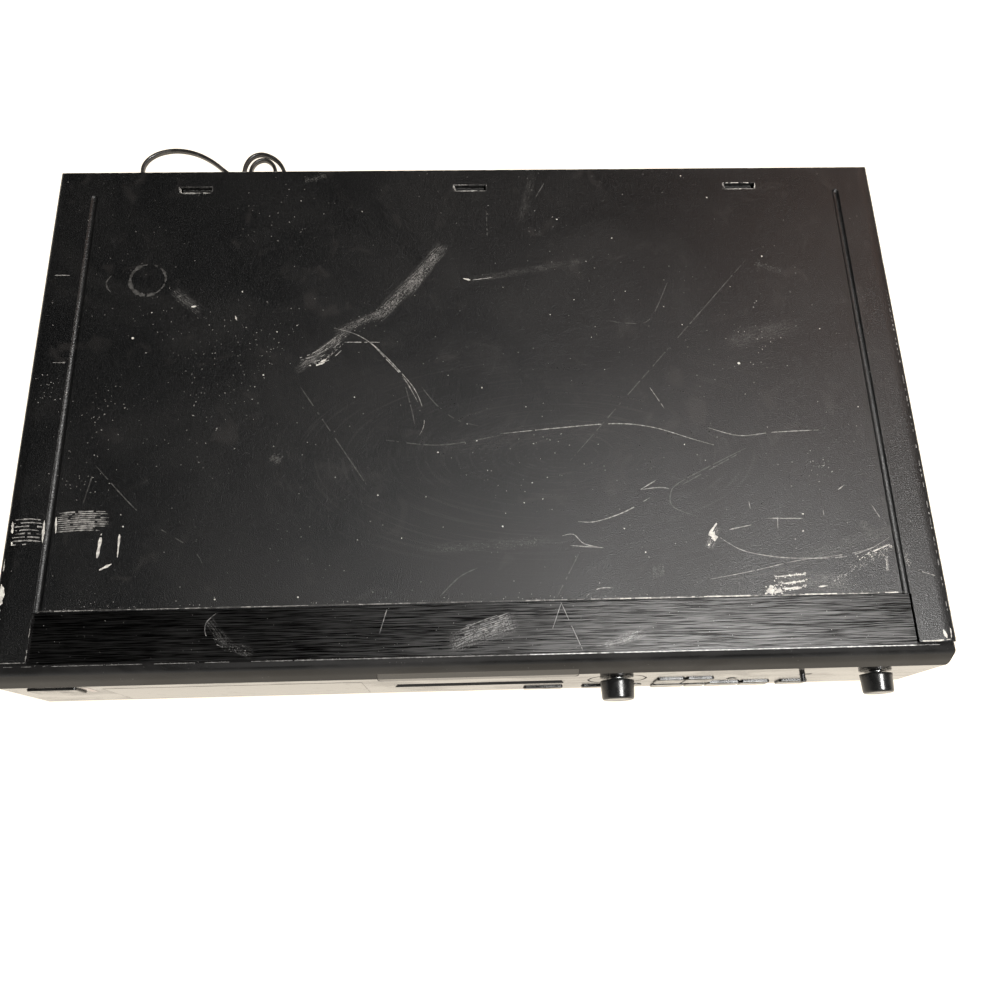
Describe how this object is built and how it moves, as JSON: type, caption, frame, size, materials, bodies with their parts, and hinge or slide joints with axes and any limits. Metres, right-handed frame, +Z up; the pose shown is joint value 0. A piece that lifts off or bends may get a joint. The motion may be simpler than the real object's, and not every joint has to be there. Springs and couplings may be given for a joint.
{
  "type": "minidisc deck",
  "caption": "Slot-loading minidisc deck with a folded steel cover, glossy front panel, jog and level knobs, keys, disc mechanism and coiled mains lead.",
  "frame": {"origin": "bottom centre of the deck's box, on the surface its feet stand on", "axes": "+X along the width to the right seen from the front, +Y to the back, +Z up"},
  "size_m": [0.43, 0.3706, 0.095],
  "materials": {
    "cover_paint": "fine textured satin",
    "front_gloss": "glossy",
    "brushed_black": "hairline brushed, dark anodised",
    "window_smoke": "glossy, nearly black",
    "lens_red": "glossy, dark red",
    "key_black": "satin",
    "knob_black": "satin with a turned front",
    "black_moulding": "matte",
    "white_moulding": "matte",
    "board_green": "satin laminate",
    "tube_glass": "clear",
    "zinc_steel": "zinc plated",
    "black_steel": "satin",
    "screw_steel": "black zinc",
    "plain_aluminium": "satin",
    "bright_chrome": "polished",
    "dark_iron": "varnished laminations",
    "copper_wire": "enamelled wire",
    "yellow_brass": "bright",
    "black_rubber": "matte",
    "cord_jacket": "satin"
  },
  "bodies": {
    "deck": {"top_cover": "cover_paint", "front_panel": "front_gloss", "brushed_strip": "brushed_black", "display_window": "window_smoke", "standby_lens": "lens_red", "panel_switches": "black_moulding", "panel_boards": "board_green", "display_tube": "tube_glass", "rotary_controls": "plain_aluminium", "case_screws": "screw_steel", "bottom_chassis": "zinc_steel", "feet": "black_moulding", "rear_panel": "black_steel", "jack_block": "black_moulding", "jack_barrels": "bright_chrome", "optical_sockets": "black_moulding", "main_board": "board_green", "power_board": "board_green", "board_screws": "zinc_steel", "capacitors": "plain_aluminium", "integrated_circuits": "black_moulding", "heatsink": "plain_aluminium", "ribbon_cable": "white_moulding", "transformer_core": "dark_iron", "transformer_winding": "copper_wire", "mechanism_bracket": "zinc_steel", "dampers": "black_rubber", "mechanism_base": "zinc_steel", "drive_motors": "zinc_steel", "guide_rods": "bright_chrome", "strain_relief": "black_rubber", "mains_cord": "cord_jacket", "mains_cord_hank": "cord_jacket", "cord_tie": "black_moulding", "mains_plug": "black_rubber"},
    "power_key": {"power_key": "key_black"},
    "eject_key": {"eject_key": "key_black"},
    "display_key": {"display_key": "key_black"},
    "menu_key": {"menu_key": "key_black"},
    "enter_key": {"enter_key": "key_black"},
    "record_key": {"record_key": "key_black"},
    "play_key": {"play_key": "key_black"},
    "pause_key": {"pause_key": "key_black"},
    "stop_key": {"stop_key": "key_black"},
    "skip_key": {"skip_key": "key_black"},
    "scroll_key": {"scroll_key": "key_black"},
    "time_key": {"time_key": "key_black"},
    "slot_flap": {"slot_flap": "black_moulding"},
    "jog_carrier": {"jog_carrier": "white_moulding"},
    "jog_knob": {"jog_knob": "knob_black"},
    "level_knob": {"level_knob": "knob_black"},
    "input_lever": {"input_lever": "knob_black"},
    "cartridge_holder": {"cartridge_holder": "zinc_steel"},
    "cam_slider": {"cam_slider": "white_moulding"},
    "loading_gear": {"loading_gear": "white_moulding"},
    "motor_pinion": {"motor_pinion": "yellow_brass"},
    "turntable": {"turntable": "plain_aluminium"},
    "pickup_sled": {"pickup_sled": "plain_aluminium"},
    "magnetic_head_arm": {"magnetic_head_arm": "zinc_steel"},
    "lead_screw": {"lead_screw": "bright_chrome"}
  },
  "joints": [
    {"name": "power_press", "type": "slide", "parent": "deck", "child": "power_key", "axis": [0, 1, 0], "range_m": [0, 0.0008], "stiffness_N_per_m": 800, "springref_m": -0.0005},
    {"name": "eject_press", "type": "slide", "parent": "deck", "child": "eject_key", "axis": [0, 1, 0], "range_m": [0, 0.0008], "stiffness_N_per_m": 800, "springref_m": -0.0005},
    {"name": "display_press", "type": "slide", "parent": "deck", "child": "display_key", "axis": [0, 1, 0], "range_m": [0, 0.0008], "stiffness_N_per_m": 800, "springref_m": -0.0005},
    {"name": "menu_press", "type": "slide", "parent": "deck", "child": "menu_key", "axis": [0, 1, 0], "range_m": [0, 0.0008], "stiffness_N_per_m": 800, "springref_m": -0.0005},
    {"name": "enter_press", "type": "slide", "parent": "deck", "child": "enter_key", "axis": [0, 1, 0], "range_m": [0, 0.0008], "stiffness_N_per_m": 800, "springref_m": -0.0005},
    {"name": "record_press", "type": "slide", "parent": "deck", "child": "record_key", "axis": [0, 1, 0], "range_m": [0, 0.0008], "stiffness_N_per_m": 800, "springref_m": -0.0005},
    {"name": "play_press", "type": "slide", "parent": "deck", "child": "play_key", "axis": [0, 1, 0], "range_m": [0, 0.0008], "stiffness_N_per_m": 800, "springref_m": -0.0005},
    {"name": "pause_press", "type": "slide", "parent": "deck", "child": "pause_key", "axis": [0, 1, 0], "range_m": [0, 0.0008], "stiffness_N_per_m": 800, "springref_m": -0.0005},
    {"name": "stop_press", "type": "slide", "parent": "deck", "child": "stop_key", "axis": [0, 1, 0], "range_m": [0, 0.0008], "stiffness_N_per_m": 800, "springref_m": -0.0005},
    {"name": "skip_press", "type": "slide", "parent": "deck", "child": "skip_key", "axis": [0, 1, 0], "range_m": [0, 0.0008], "stiffness_N_per_m": 800, "springref_m": -0.0005},
    {"name": "scroll_press", "type": "slide", "parent": "deck", "child": "scroll_key", "axis": [0, 1, 0], "range_m": [0, 0.0008], "stiffness_N_per_m": 800, "springref_m": -0.0005},
    {"name": "time_press", "type": "slide", "parent": "deck", "child": "time_key", "axis": [0, 1, 0], "range_m": [0, 0.0008], "stiffness_N_per_m": 800, "springref_m": -0.0005},
    {"name": "flap_swing", "type": "hinge", "parent": "deck", "child": "slot_flap", "pos_m": [0, -0.1279, 0.0647], "axis": [1, 0, 0], "range_deg": [0, 80], "stiffness_Nm_per_rad": 0.0008, "springref_deg": -22.92},
    {"name": "jog_push", "type": "slide", "parent": "deck", "child": "jog_carrier", "axis": [0, 1, 0], "range_m": [0, 0.0005], "stiffness_N_per_m": 800, "springref_m": -0.0005},
    {"name": "jog_turn", "type": "hinge", "parent": "jog_carrier", "child": "jog_knob", "pos_m": [0.0651, -0.1327, 0.0635], "axis": [0, 1, 0], "continuous": true},
    {"name": "level_turn", "type": "hinge", "parent": "deck", "child": "level_knob", "pos_m": [0.1895, -0.1327, 0.0635], "axis": [0, 1, 0], "range_deg": [-150, 150]},
    {"name": "input_slide", "type": "slide", "parent": "deck", "child": "input_lever", "axis": [1, 0, 0], "range_m": [0, 0.003]},
    {"name": "cam_slide", "type": "slide", "parent": "deck", "child": "cam_slider", "axis": [0, 1, 0], "range_m": [0, 0.012]},
    {"name": "holder_lower", "type": "slide", "parent": "deck", "child": "cartridge_holder", "axis": [0, 0, 1], "range_m": [-0.005, 0]},
    {"name": "gear_turn", "type": "hinge", "parent": "deck", "child": "loading_gear", "pos_m": [0.062, -0.07, 0.0355], "axis": [0, 0, 1], "range_deg": [-115, 0]},
    {"name": "pinion_turn", "type": "hinge", "parent": "deck", "child": "motor_pinion", "pos_m": [0.062, -0.0529, 0.0355], "axis": [0, 0, 1], "range_deg": [0, 430]},
    {"name": "disc_spin", "type": "hinge", "parent": "deck", "child": "turntable", "pos_m": [0, -0.081, 0.0455], "axis": [0, 0, 1], "continuous": true},
    {"name": "sled_travel", "type": "slide", "parent": "deck", "child": "pickup_sled", "axis": [0, 1, 0], "range_m": [0, 0.014]},
    {"name": "screw_turn", "type": "hinge", "parent": "deck", "child": "lead_screw", "pos_m": [0.014, -0.0722, 0.042], "axis": [0, 1, 0], "range_deg": [0, 1680]},
    {"name": "head_lower", "type": "hinge", "parent": "pickup_sled", "child": "magnetic_head_arm", "pos_m": [0, -0.0415, 0.066], "axis": [1, 0, 0], "range_deg": [0, 14]}
  ],
  "couplings": [
    {"joint": "holder_lower", "follows": "cam_slide", "ratio": -0.41667},
    {"joint": "gear_turn", "follows": "cam_slide", "rad_per_m": -166.67},
    {"joint": "pinion_turn", "follows": "cam_slide", "rad_per_m": 625},
    {"joint": "head_lower", "follows": "cam_slide", "rad_per_m": 20.36},
    {"joint": "screw_turn", "follows": "sled_travel", "rad_per_m": 2094}
  ]
}
